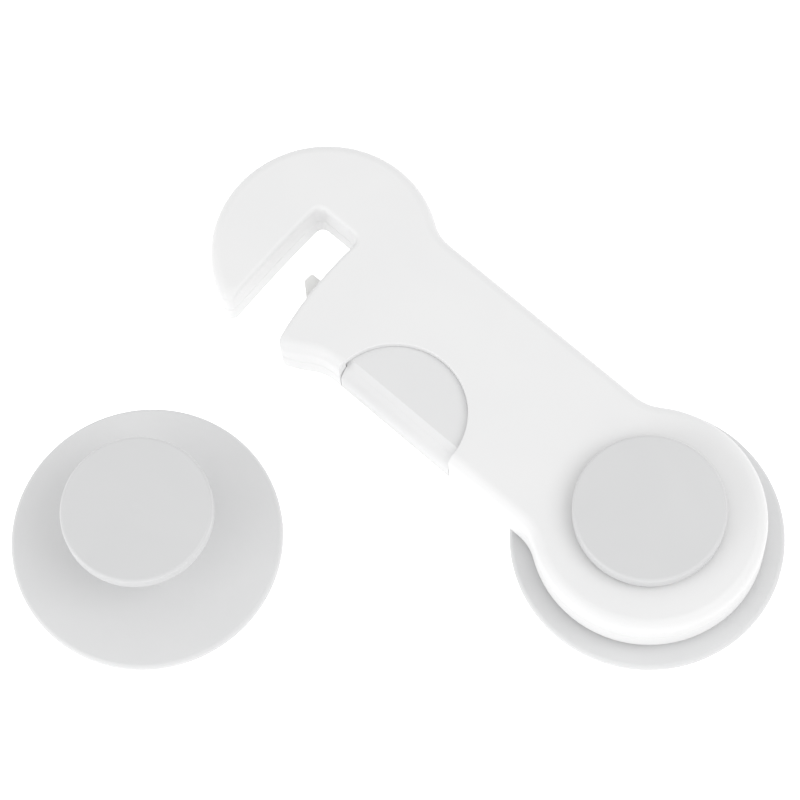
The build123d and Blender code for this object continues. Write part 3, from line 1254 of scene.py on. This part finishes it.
    def lower_ribs(self, ground: float) -> list[bpy.types.Object]:
        """The bolt's two rails and the three spring seats with their pegs.

        Args:
            ground: Height of the floor's upper face.

        Returns:
            Blanks to join to the lower cover.
        """
        foot = ground - self.bite
        start, end = self.rails
        bolt_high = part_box("latch_bolt")[1]
        ribs = [
            box_blank("rail", (start, y, foot), (end, y + self.rib, self.split))
            for y in (self.bolt_side - self.play - self.rib, bolt_high.y + self.play)
        ]
        for axis, place in self.spring_feet():
            across = self.seat_half * (Vector((1, 1, 0)) - axis)
            low, high = place - across - self.seat * axis, place + across
            ribs.append(box_blank("seat", (low.x, low.y, foot), (high.x, high.y, self.split)))
            ribs.append(spring_peg(axis, place, self.peg))
        return ribs

    def spring_feet(self) -> list[tuple[Vector, Vector]]:
        """Finds where the springs stand: the button's two along Y, and the bolt's along X.

        Returns:
            Each spring's axis and the middle of its fixed end.
        """
        low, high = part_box("button_return_springs")
        radius, height = (high.z - low.z) / 2, (low.z + high.z) / 2
        feet = [(Vector((0, 1, 0)), Vector((x, low.y, height))) for x in (low.x + radius, high.x - radius)]
        low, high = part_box("latch_bolt_spring")
        return [*feet, (Vector((1, 0, 0)), Vector((low.x, (low.y + high.y) / 2, (low.z + high.z) / 2)))]

    def bolt_port(self) -> bpy.types.Object:
        """The opening in the slot's body wall that the bolt's tooth comes through.

        Returns:
            The blank to cut it with.
        """
        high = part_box("latch_bolt")[1]
        start = (self.plan.slot_r - self.port_depth, self.bolt_side - self.play, self.base + self.floor)
        return box_blank("port", start, (self.plan.slot_r + MM, high.y + self.play, high.z + self.play))

    def build(self) -> None:
        """Builds the covers, the screws and the springs, and puts them on the arm."""
        upper, lower = self.upper_cover(), self.lower_cover()
        for cover, node in ((upper, "arm_top_shell"), (lower, "arm_bottom_shell")):
            shape(cover, Work.CUT, self.bolt_port())
            settle(cover)
            mount(cover, Body.ARM, Slot.ARM, self.finish, node)
        self.screws()
        self.springs()

    def screws(self) -> None:
        """Makes one case screw and copies it to its four places."""
        low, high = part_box("arm_screws")
        pattern = CaseScrew(low.z, high.z, self.screw_seat).build()
        for i, (x, y) in enumerate(self.screw_places(), 1):
            screw = copy_of(pattern, f"case_screw_{i}")
            screw.data.transform(Matrix.Translation((x, y, 0)))
            mount(screw, Body.ARM, Slot.SCREW, self.steel, "arm_screws")
        bpy.data.objects.remove(pattern)

    def springs(self) -> None:
        """Makes the button's pair of springs and the bolt's one."""
        feet = self.spring_feet()
        kinds = (
            ("button_return_springs", "button_press", ("button_spring_near", "button_spring_far"), feet[:2]),
            ("latch_bolt_spring", "bolt_slide", ("bolt_spring",), feet[2:]),
        )
        for node, joint, names, places in kinds:
            low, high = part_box(node)
            length = (high - low).dot(places[0][0])
            pattern = Coil().build((high.z - low.z) / 2, length)
            for name, (axis, start) in zip(names, places):
                spring = copy_of(pattern, name)
                lay(spring, axis, start)
                mount(spring, Body.ARM, Slot.SPRING, self.wire, node)
                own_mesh(spring)
            bpy.data.objects.remove(pattern)


@dataclass
class StickDisc:
    """One adhesive disc with its foam, plate and knob.

    Attributes:
        side: Which of the two it is.
        body: The CAD body that it is.
        finish: The plastic of its plate.
        knob_finish: The plastic of its knob, more polished.
        foam: The foam of its pad.
        stem: Radius of the knob's stem.
        gate: Radius and height of each ring of the small mark where the knob was filled, if it shows.
        bulge: How far the pad's cut side bulges.
        bulge_steps: How many stretches that side has.
        plate_foot: Size of the chamfer under the plate's rim.
        plate_edge: Radius of the plate's upper rim.
        spigot: Radius of the spigot under the stem.
        shoulder: How far inside the rim the flat face's outer ring lies.
        knob_thick: Thickness of the knob.
        knob_edge: Radius of the knob's upper rim.
        knob_under: Radius of its lower rim.
        neck: Size of the chamfer where the stem meets the knob.
    """

    side: Side
    body: Body
    finish: bpy.types.Material
    knob_finish: bpy.types.Material
    foam: bpy.types.Material
    stem: float
    gate: tuple[Point, ...] = ()
    bulge: float = 0.18 * MM
    bulge_steps: int = 6
    plate_foot: float = 0.25 * MM
    plate_edge: float = 0.6 * MM
    spigot: float = 2.3 * MM
    shoulder: float = 2.0 * MM
    knob_thick: float = 2.6 * MM
    knob_edge: float = 0.5 * MM
    knob_under: float = 0.4 * MM
    neck: float = 0.4 * MM

    def __post_init__(self) -> None:
        """Reads the disc's place from its CAD plate."""
        low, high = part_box(f"{self.side.value}_base_disc")
        self.centre = ((low.x + high.x) / 2, (low.y + high.y) / 2)
        self.radius = (high.x - low.x) / 2
        self.spigot_top = high.z

    def pad(self) -> None:
        """Builds the foam pad, with its cut side slightly bulged."""
        low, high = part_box(f"{self.side.value}_adhesive_pad")
        radius, thick = (high.x - low.x) / 2, high.z - low.z
        shares = [i / self.bulge_steps for i in range(self.bulge_steps + 1)]
        profile = [(radius - self.bulge * (2 * s - 1) ** 2, low.z + thick * s) for s in shares]
        pad = turned(f"{self.side.value}_foam", self.centre, profile)
        settle(pad)
        mount(pad, self.body, Slot.FOAM, self.foam, f"{self.side.value}_adhesive_pad")

    def plate(self) -> None:
        """Builds the round plate with its soft upper rim and the spigot under the knob's stem."""
        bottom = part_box(f"{self.side.value}_adhesive_pad")[1].z
        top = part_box(f"{self.side.value}_knob")[0].z
        profile = [(self.radius - self.plate_foot, bottom), (self.radius, bottom + self.plate_foot)]
        profile += quarter(self.radius, top, self.plate_edge, steps=8, up=True)
        profile += [(self.radius - self.shoulder, top), (self.spigot, top), (self.spigot, self.spigot_top)]
        plate = turned(f"{self.side.value}_plate", self.centre, profile)
        settle(plate)
        mount(plate, self.body, Slot.DISC, self.finish, f"{self.side.value}_base_disc")

    def knob(self) -> None:
        """Builds the flat knob on its stem."""
        low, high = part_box(f"{self.side.value}_knob")
        radius, under = (high.x - low.x) / 2, high.z - self.knob_thick
        profile = [(r, high.z + rise) for r, rise in self.gate] + [(radius - self.shoulder, high.z)]
        profile += quarter(radius, high.z, self.knob_edge, steps=7, up=True)[::-1]
        profile += quarter(radius, under, self.knob_under, steps=5, up=False)
        profile += [(self.stem + self.neck, under), (self.stem, under - self.neck), (self.stem, low.z)]
        knob = turned(f"{self.side.value}_cap", self.centre, profile)
        settle(knob)
        mount(knob, self.body, Slot.DISC, self.knob_finish, f"{self.side.value}_knob")

    def build(self) -> None:
        """Builds the pad, the plate and the knob."""
        self.pad()
        self.plate()
        self.knob()


@dataclass
class Release:
    """The D-shaped pad with its finger face, and the bolt that it draws back.

    Attributes:
        finish: The plastic of the pad.
        bolt_finish: The plastic of the bolt.
        pad_edge: Width of the bevel along the pad's front.
        pad_round: Width of the softened lines on both sides of the bevel.
        pad_tuck: How far those lines are tucked in.
        pad_under: Height of the plate's underside.
        face_out: How far the finger face stands out from the pad's front.
        face_root: How far the face runs into the pad.
        face_inset: How much shorter it is than the plate, at each end.
        face_end: Radius of its upright ends.
        nose_r: Radius of the rounded nose of the finger face.
        nose_z: Height at which the nose meets the upright face.
        nose_steps: How many stretches the nose has.
        drop: How far the face's foot is below the CAD face.
        tab: Width and thickness of each spring tab.
        tab_inset: Distance from the plate's end to its tab.
        tab_foot: Height of the tabs' feet.
        tab_root: How far the tabs run into the plate.
        rear: Length of the peg behind the bolt.
        bar_x: Where the bolt's wide plate ends and its bar starts.
        bar_y: Where the bar's straight side runs.
        tooth_y: Where the tooth's tip ends.
        tooth_root: Where the tooth's ramp meets the far side.
        tooth_step: Size of the tip's chamfers.
        tooth_edge: Radius of the bolt's rounded edges.
        slot_reach: How far the slanted slot runs, along X and Y.
        slot_play: Gap between the slot and the pin.
        slot_steps: How many stretches each round end of the slot has.
        peg: Profile of the peg that holds the bolt's spring.
    """

    finish: bpy.types.Material
    bolt_finish: bpy.types.Material
    pad_edge: float = 0.9 * MM
    pad_round: float = 0.15 * MM
    pad_tuck: float = 0.045 * MM
    pad_under: float = 8.3 * MM
    face_out: float = 1.55 * MM
    face_root: float = 0.25 * MM
    face_inset: float = 1.0 * MM
    face_end: float = 0.2 * MM
    nose_r: float = 3.6 * MM
    nose_z: float = 6.55 * MM
    nose_steps: int = 12
    drop: float = 0.1 * MM
    tab: Point = (2.9 * MM, 1.2 * MM)
    tab_inset: float = 0.35 * MM
    tab_foot: float = 5.0 * MM
    tab_root: float = 0.5 * MM
    rear: float = 1.6 * MM
    bar_x: float = 41.5 * MM
    bar_y: float = 3.4 * MM
    tooth_y: float = 5.3 * MM
    tooth_root: float = 59.7 * MM
    tooth_step: float = 0.3 * MM
    tooth_edge: float = 0.2 * MM
    slot_reach: float = 2.75 * MM
    slot_play: float = 0.05 * MM
    slot_steps: int = 8
    peg: tuple[Point, ...] = ((0.8 * MM, 0.0), (0.8 * MM, 2.0 * MM))

    def bar(self, name: str, profile: Sequence[Point], low: float, high: float) -> bpy.types.Object:
        """A straight bar along X with one section.

        Args:
            name: The new object's name.
            profile: The section, as y and z.
            low: Where it starts along X.
            high: Where it ends.

        Returns:
            The new object.
        """
        return loft(name, [[(x, y, z) for y, z in profile] for x in (low, high)])

    def finger_face(self, front: float) -> bpy.types.Object:
        """The upright face under the pad's front, with its rounded nose.

        Args:
            front: Where the pad's front is, along Y.

        Returns:
            The blank to join to the pad.
        """
        low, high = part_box("release_button")
        top, foot, back = high.z - self.pad_edge, low.z - self.drop, front - self.face_root
        turn = asin((top - self.nose_z) / self.nose_r)
        nose = [
            (high.y - self.nose_r * (1 - cos(t)), self.nose_z + self.nose_r * sin(t))
            for t in (turn * i / self.nose_steps for i in range(self.nose_steps + 1))
        ]
        start, end = low.x + self.face_inset, high.x - self.face_inset
        face = self.bar("lip", [(back, foot), (high.y, foot), *nose, (back, top)], start, end)
        middle = (low.x + high.x) / 2

        def at_an_end(a: Vector, b: Vector) -> bool:
            """True for an edge across either end of the face, in front of the pad's root."""
            across = abs(a.x - b.x) < CLOSE and abs(a.x - middle) > MM
            return across and min(a.y, b.y) > back + CLOSE

        round_edges(face, at_an_end, self.face_end, segments=2)
        return face

    def pad(self) -> None:
        """Builds the plate under the skin, its bevelled front, the finger face and the two spring tabs."""
        low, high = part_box("release_button")
        front = high.y - self.face_out
        under, edge, turn, tuck = self.pad_under, self.pad_edge, self.pad_round, self.pad_tuck
        bevel = [
            (front, high.z - edge - turn),
            (front - tuck, high.z - edge),
            (front - edge, high.z - tuck),
            (front - edge - turn, high.z),
        ]
        section = [(low.y, under), (front, under), *bevel, (low.y, high.z)]
        pad = self.bar("release_pad", section, low.x, high.x)
        width, thick = self.tab
        tabs = [
            box_blank("tab", (x, low.y, self.tab_foot), (x + width, low.y + thick, under + self.tab_root))
            for x in (low.x + self.tab_inset, high.x - self.tab_inset - width)
        ]
        shape(pad, Work.JOIN, self.finger_face(front), *tabs)
        settle(pad)
        mount(pad, Body.BUTTON, Slot.BUTTON, self.finish, "release_button")

    def cam_slot(self, low: float, high: float) -> bpy.types.Object:
        """The slanted slot that the button's pin runs in.

        Args:
            low: Height at which it starts.
            high: Height at which it ends.

        Returns:
            The blank to cut it with.
        """
        pin_low, pin_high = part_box("button_cam_pin")
        pin = (pin_low + pin_high) / 2
        half = (pin_high.x - pin_low.x) / 2 + self.slot_play
        far = pin + Vector((self.slot_reach, -self.slot_reach, 0))
        outline = []
        for end, facing in ((pin, 3 * pi / 4), (far, -pi / 4)):
            turns = [facing - pi / 2 + pi * i / self.slot_steps for i in range(self.slot_steps + 1)]
            outline += [(end.x + half * cos(t), end.y + half * sin(t)) for t in turns]
        return loft("slot", [[(x, y, z) for x, y in outline] for z in (low, high)])

    def bolt(self) -> None:
        """Builds the flat bolt with its ramped tooth, its slanted slot and the peg for its spring."""
        low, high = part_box("latch_bolt")
        rear, step = low.x + self.rear, self.tooth_step
        plan = [
            (rear, low.y),
            (self.bar_x, low.y),
            (self.bar_x, self.bar_y),
            (high.x - step, self.bar_y),
            (high.x, self.bar_y + step),
            (high.x, self.tooth_y - step),
            (high.x - step, self.tooth_y),
            (self.tooth_root, high.y),
            (rear, high.y),
        ]
        bolt = loft("ramped_bolt", [[(x, y, z) for x, y in plan] for z in (low.z, high.z)])

        def on_the_bar(a: Vector, b: Vector) -> bool:
            """True for a level edge of the bar or the tooth."""
            return abs(a.z - b.z) < CLOSE and min(a.x, b.x) > self.bar_x

        round_edges(bolt, on_the_bar, self.tooth_edge, 3)
        seat_low, seat_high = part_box("latch_bolt_spring")
        middle = (seat_low + seat_high) / 2
        foot = Vector((low.x, middle.y, middle.z))
        shape(bolt, Work.CUT, self.cam_slot(low.z - MM, high.z + MM))
        shape(bolt, Work.JOIN, spring_peg(Vector((1, 0, 0)), foot, self.peg))
        settle(bolt)
        mount(bolt, Body.BOLT, Slot.BOLT, self.bolt_finish, "latch_bolt")

    def build(self) -> None:
        """Builds the pad and the bolt."""
        self.pad()
        self.bolt()


def dress_hidden(finishes: dict[str, bpy.types.Material]) -> None:
    """Gives the CAD nodes that stay, such as the bush and the washers, their finishes.

    Args:
        finishes: Each node's name and its material.
    """
    for name, material in finishes.items():
        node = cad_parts[name]
        if not node.material_slots:
            node.data.materials.append(material)
        for slot in node.material_slots:
            slot.material = material
        log.info("%s keeps its CAD shape, in %s", name, material.name)


# ------------------------------------------------------------------ studio
@dataclass(frozen=True)
class Softbox:
    """A square area light that faces the object.

    Attributes:
        name: Its name.
        turn: Where it stands, in degrees round from the camera.
        elevation: How high it stands, in degrees.
        size: Its side.
        power: Its power in watts.
        away: Its distance from the object.
    """

    name: str
    turn: float
    elevation: float
    size: float
    power: float
    away: float = 0.7


@dataclass(frozen=True)
class Table:
    """A white table that is bright by itself above and clear from below.

    Attributes:
        tone: How much light it throws back.
        bounce: Its own light on the object.
        glow: Its further light that only the camera sees, which keeps it plain white.
        size: Its side.
        drop: How far it lies below the object.
    """

    tone: float = 0.8
    bounce: float = 0.54
    glow: float = 0.6
    size: float = 6.0
    drop: float = 0.02 * MM

    def build(self) -> None:
        """Lays the table and gives it its material."""
        bpy.ops.object.select_all(action="DESELECT")
        bpy.ops.mesh.primitive_plane_add(size=self.size, location=(0, 0, -self.drop))
        table = bpy.context.active_object
        table.name = "white_table"
        material = bpy.data.materials.new("white_table")
        material.use_nodes = True
        tree = material.node_tree
        shader = tree.nodes["Principled BSDF"]
        shader.inputs["Base Color"].default_value = (self.tone, self.tone, self.tone, 1)
        shader.inputs["Roughness"].default_value = 0.9
        shader.inputs["Specular IOR Level"].default_value = 0.0
        shader.inputs["Emission Color"].default_value = (1, 1, 1, 1)
        shader.inputs["Emission Strength"].default_value = self.bounce
        glow = add_node(tree, "Emission", Strength=self.glow)
        both = add_node(tree, "AddShader")
        path = add_node(tree, "LightPath")
        seen = add_node(tree, "MixShader")
        clear = add_node(tree, "BsdfTransparent")
        side = add_node(tree, "NewGeometry")
        sided = add_node(tree, "MixShader")
        link = tree.links.new
        link(shader.outputs["BSDF"], both.inputs[0])
        link(glow.outputs["Emission"], both.inputs[1])
        link(path.outputs["Is Camera Ray"], seen.inputs["Fac"])
        link(shader.outputs["BSDF"], seen.inputs[1])
        link(both.outputs["Shader"], seen.inputs[2])
        link(side.outputs["Backfacing"], sided.inputs["Fac"])
        link(seen.outputs["Shader"], sided.inputs[1])
        link(clear.outputs["BSDF"], sided.inputs[2])
        link(sided.outputs["Shader"], tree.nodes["Material Output"].inputs["Surface"])
        table.data.materials.append(material)


@dataclass
class Studio:
    """White table, soft lights and the camera.

    Attributes:
        aim: The point that the camera looks at.
        azimuth: The camera's azimuth, in degrees.
        elevation: Its elevation, in degrees.
        roll: Its turn about its own axis, in degrees.
        distance: Its distance from the aim.
        lens: Its focal length, in millimetres.
        sensor: Its sensor's width, in millimetres.
        clip: The nearest and the furthest distance that it sees.
        room: Strength of the even light from the white room.
        lights: The softboxes.
    """

    aim: Vector = field(default_factory=lambda: Vector((39.45 * MM, 9.66 * MM, 8.0 * MM)))
    azimuth: float = 228.97
    elevation: float = 68.97
    roll: float = -7.05
    distance: float = 441 * MM
    lens: float = 135.7
    sensor: float = 36.0
    clip: tuple[float, float] = (0.01, 20.0)
    room: float = 0.80
    lights: tuple[Softbox, ...] = (
        Softbox("key", turn=62, elevation=52, size=0.45, power=1.3),
        Softbox("low_left", turn=-64, elevation=24, size=0.5, power=1.4),
    )

    def towards(self, azimuth: float, elevation: float) -> Vector:
        """Finds a direction out of the object.

        Args:
            azimuth: Its azimuth, in degrees.
            elevation: Its elevation, in degrees.

        Returns:
            The unit vector.
        """
        a, e = radians(azimuth), radians(elevation)
        return Vector((sin(a) * cos(e), -cos(a) * cos(e), sin(e)))

    def place(self, thing: bpy.types.Object, back: Vector, distance: float, roll: float = 0.0) -> None:
        """Adds a light or the camera to the scene and points it at the aim.

        Args:
            thing: The new object.
            back: Direction from the aim to it.
            distance: Its distance from the aim.
            roll: Its turn about its own axis, in degrees.
        """
        bpy.context.scene.collection.objects.link(thing)
        thing.location = self.aim + back * distance
        thing.rotation_mode = "QUATERNION"
        turn = (-back).to_track_quat("-Z", "Y")
        thing.rotation_quaternion = turn @ Quaternion((0, 0, 1), radians(roll))

    def camera(self) -> None:
        """Sets up the camera, rolled as it was held."""
        data = bpy.data.cameras.new("camera")
        data.lens = self.lens
        data.sensor_width = self.sensor
        data.clip_start, data.clip_end = self.clip
        camera = bpy.data.objects.new("camera", data)
        self.place(camera, self.towards(self.azimuth, self.elevation), self.distance, self.roll)
        bpy.context.scene.camera = camera

    def softbox(self, box: Softbox) -> None:
        """Hangs one softbox.

        Args:
            box: Its place, size and power.
        """
        data = bpy.data.lights.new(box.name, "AREA")
        data.shape = "SQUARE"
        data.size = box.size
        data.energy = box.power
        light = bpy.data.objects.new(box.name, data)
        self.place(light, self.towards(self.azimuth + box.turn, box.elevation), box.away)

    def build(self) -> None:
        """Sets the room's light, the softboxes, the table and the camera."""
        world = bpy.data.worlds.new("white_room")
        world.use_nodes = True
        background = world.node_tree.nodes["Background"]
        background.inputs["Color"].default_value = (1, 1, 1, 1)
        background.inputs["Strength"].default_value = self.room
        scene = bpy.context.scene
        scene.world = world
        scene.view_settings.view_transform = "Standard"
        for box in self.lights:
            self.softbox(box)
        Table().build()
        self.camera()
        log.info("studio ready")


GATE_MARK = ((0.3 * MM, -0.05 * MM), (0.6 * MM, -0.035 * MM), (1.0 * MM, 0.0))


def main() -> None:
    """Builds the latch and its studio, in order."""
    logging.basicConfig(level=logging.INFO, format="%(name)s: %(message)s")
    effects = Effects()
    finishes = (DISC_WHITE, KNOB_WHITE, PAD_FOAM, ZINC, WIRE, BEARING_WHITE)
    plastic, knobs, foam, steel, wire, bearing_white = (f.material(effects) for f in finishes)
    StickDisc(Side.PIVOT, Body.PIVOT, plastic, knobs, foam, stem=4.0 * MM).build()
    StickDisc(Side.CATCH, Body.CATCH, plastic, knobs, foam, stem=3.0 * MM, gate=GATE_MARK).build()
    Arm(ARM_WHITE.material(effects), steel, wire).build()
    Release(BUTTON_WHITE.material(effects), BOLT_WHITE.material(effects)).build()
    dress_hidden({
        "pivot_bush": bearing_white,
        "pivot_lower_washer": bearing_white,
        "pivot_upper_washer": bearing_white,
        "pivot_screw": steel,
        "catch_screw": steel,
        "button_cam_pin": steel,
    })
    Studio().build()


if __name__ == "__main__":
    main()
